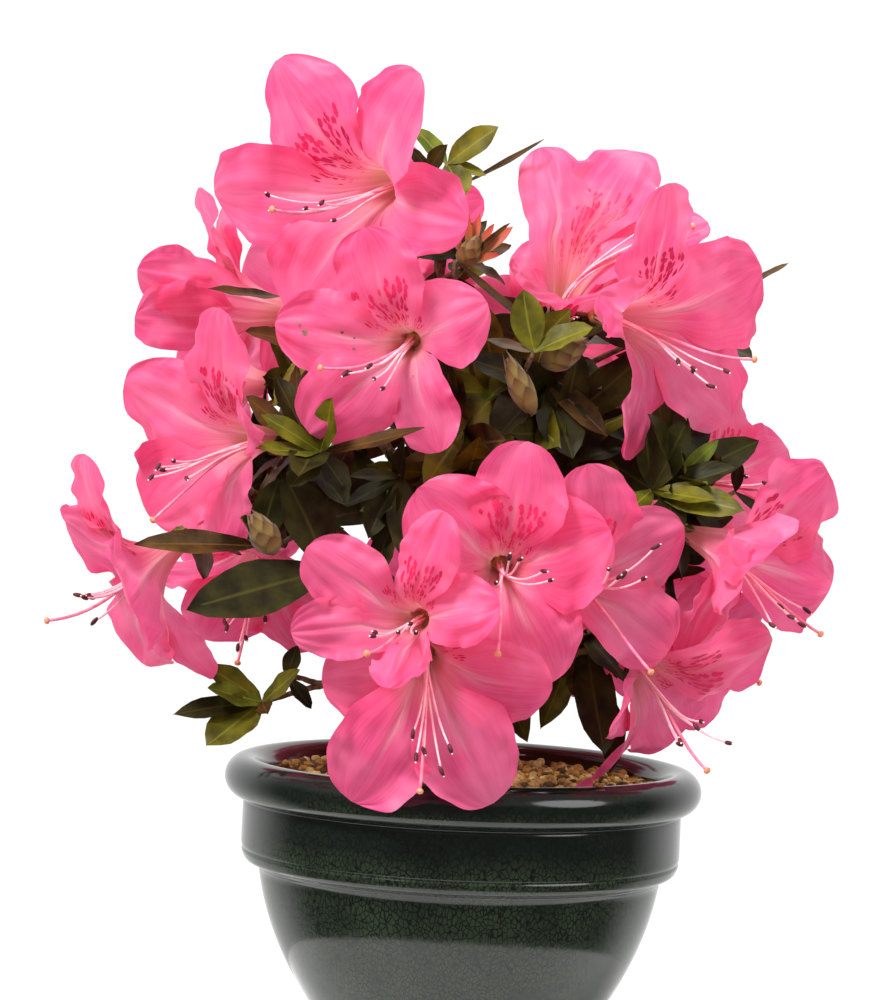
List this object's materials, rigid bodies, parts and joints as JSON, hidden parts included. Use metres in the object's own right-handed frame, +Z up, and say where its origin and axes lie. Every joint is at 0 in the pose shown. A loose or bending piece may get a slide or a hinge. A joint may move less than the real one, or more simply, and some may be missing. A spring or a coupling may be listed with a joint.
{
  "type": "azalea bonsai",
  "caption": "Small azalea bonsai in full pink flower on a leaning trunk, growing in gravelly soil in a round dark green glazed pot with a rolled rim",
  "frame": {"origin": "Centre of the pot's flat underside", "axes": "+Z is up. The front of the plant, as the picture sees it, faces -Y, and +X is to the right of that view."},
  "size_m": [0.2178, 0.2012, 0.2755],
  "materials": {
    "pot": "glossy dark green glaze",
    "soil": "loose tan gravel over soil",
    "trunk": "rough bark",
    "bough": "bark",
    "mass": "soft petals and leaves"
  },
  "bodies": {
    "root": {"pot": "pot", "soil": "soil", "trunk": "trunk", "bough_top_front": "bough", "bough_top_right": "bough", "bough_left_low": "bough", "bough_left_high": "bough", "bough_front": "bough", "bough_right": "bough", "bough_centre": "bough", "bough_low_spray": "bough", "bough_back_top": "bough", "bough_back_right_high": "bough", "bough_back_left": "bough", "bough_back": "bough", "bough_back_right_low": "bough", "bough_back_low": "bough", "mass_top_front": "mass", "mass_top_right": "mass", "mass_left_low": "mass", "mass_left_high": "mass", "mass_front": "mass", "mass_right": "mass", "mass_centre": "mass", "mass_low_spray": "mass", "mass_back_top": "mass", "mass_back_right_high": "mass", "mass_back_left": "mass", "mass_back": "mass", "mass_back_right_low": "mass", "mass_back_low": "mass"}
  },
  "joints": []
}
